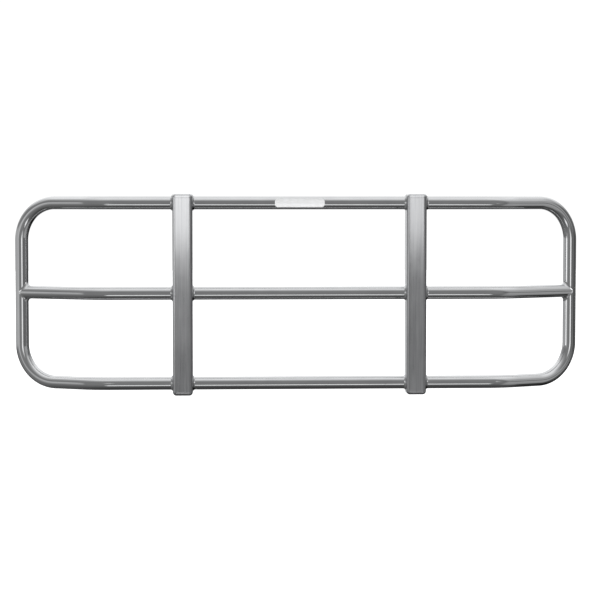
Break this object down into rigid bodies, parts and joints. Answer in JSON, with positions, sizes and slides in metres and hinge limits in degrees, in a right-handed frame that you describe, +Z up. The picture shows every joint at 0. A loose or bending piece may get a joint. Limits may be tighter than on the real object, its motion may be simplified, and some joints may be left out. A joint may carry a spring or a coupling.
{
  "type": "headache rack",
  "caption": "Polished round-tube headache rack with swept-back ends on two satin box-section uprights, bolted on from behind.",
  "frame": {"origin": "centre of the rear bolt pattern, on the plane of the four rear mounting pads", "axes": "+Z up, +X along the width to the right as seen from the front, front faces -Y; the ends sweep back towards +Y"},
  "size_m": [2.1908, 0.1967, 0.769],
  "materials": {
    "polished_tube": "mirror-polished stainless tube with fine lengthwise polishing lines",
    "satin_box_section": "satin stainless, brushed lengthwise",
    "polished_weld": "weld ground smooth and polished",
    "weld_bead": "as-welded bead with ripples",
    "pad_plate": "milled stainless plate",
    "plain_steel": "drawn steel, as supplied",
    "badge_enamel": "plain white enamel with a bright rim, no marks"
  },
  "bodies": {
    "root": {"badge_plate": "badge_enamel", "centre_bottom_rail": "polished_tube", "centre_mid_rail": "polished_tube", "centre_top_rail": "polished_tube", "left_bottom_cap": "satin_box_section", "left_bottom_sleeve": "plain_steel", "left_end_loop": "polished_tube", "left_lower_pad": "pad_plate", "left_mid_rail": "polished_tube", "left_mid_sleeve": "plain_steel", "left_pad_welds": "weld_bead", "left_tee_weld": "polished_weld", "left_top_cap": "satin_box_section", "left_top_sleeve": "plain_steel", "left_upper_pad": "pad_plate", "left_upright": "satin_box_section", "left_upright_welds": "polished_weld", "right_bottom_cap": "satin_box_section", "right_bottom_sleeve": "plain_steel", "right_end_loop": "polished_tube", "right_lower_pad": "pad_plate", "right_mid_rail": "polished_tube", "right_mid_sleeve": "plain_steel", "right_pad_welds": "weld_bead", "right_tee_weld": "polished_weld", "right_top_cap": "satin_box_section", "right_top_sleeve": "plain_steel", "right_upper_pad": "pad_plate", "right_upright": "satin_box_section", "right_upright_welds": "polished_weld"}
  },
  "joints": []
}
